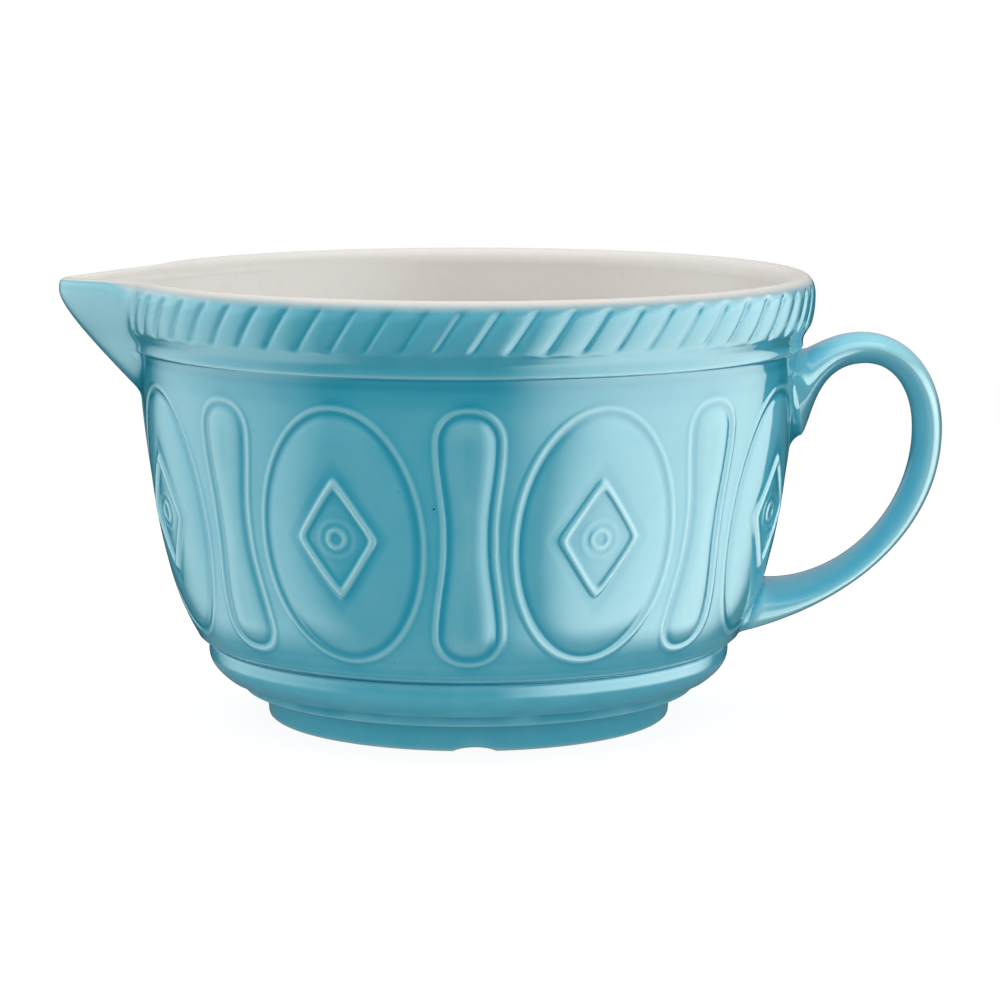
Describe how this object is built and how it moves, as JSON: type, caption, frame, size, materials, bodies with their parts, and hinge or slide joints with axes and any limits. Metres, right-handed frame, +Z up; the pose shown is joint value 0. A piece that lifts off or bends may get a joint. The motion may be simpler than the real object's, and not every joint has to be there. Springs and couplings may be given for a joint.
{
  "type": "batter bowl",
  "caption": "Glazed stoneware batter bowl with a pouring spout, a strap handle opposite, a slanted gadroon rim band, moulded relief and a foot ring.",
  "frame": {"origin": "centre of the foot ring's resting face, on the bowl's axis, at table height", "axes": "+Z up along the bowl's axis, +X towards the handle, -X towards the spout, +Y towards the plain side away from the camera of the picture"},
  "size_m": [0.2678, 0.2092, 0.1348],
  "materials": {
    "turquoise_glaze": "glossy translucent turquoise glaze, deeper where it pools",
    "turquoise_glaze_thin": "the same glaze where it breaks thin and pale over raised lines",
    "cream_glaze": "glossy warm off-white liner glaze"
  },
  "bodies": {
    "root": {"bowl_body": "turquoise_glaze", "rim_band": "turquoise_glaze_thin", "base_moulding": "turquoise_glaze", "foot_ring": "turquoise_glaze", "inside_glaze": "cream_glaze", "pouring_spout": "turquoise_glaze", "handle": "turquoise_glaze", "oval_panels": "turquoise_glaze", "oval_beads": "turquoise_glaze_thin", "waisted_panels": "turquoise_glaze", "waisted_beads": "turquoise_glaze_thin", "diamond_frames": "turquoise_glaze_thin", "ring_bosses": "turquoise_glaze_thin"}
  },
  "joints": []
}
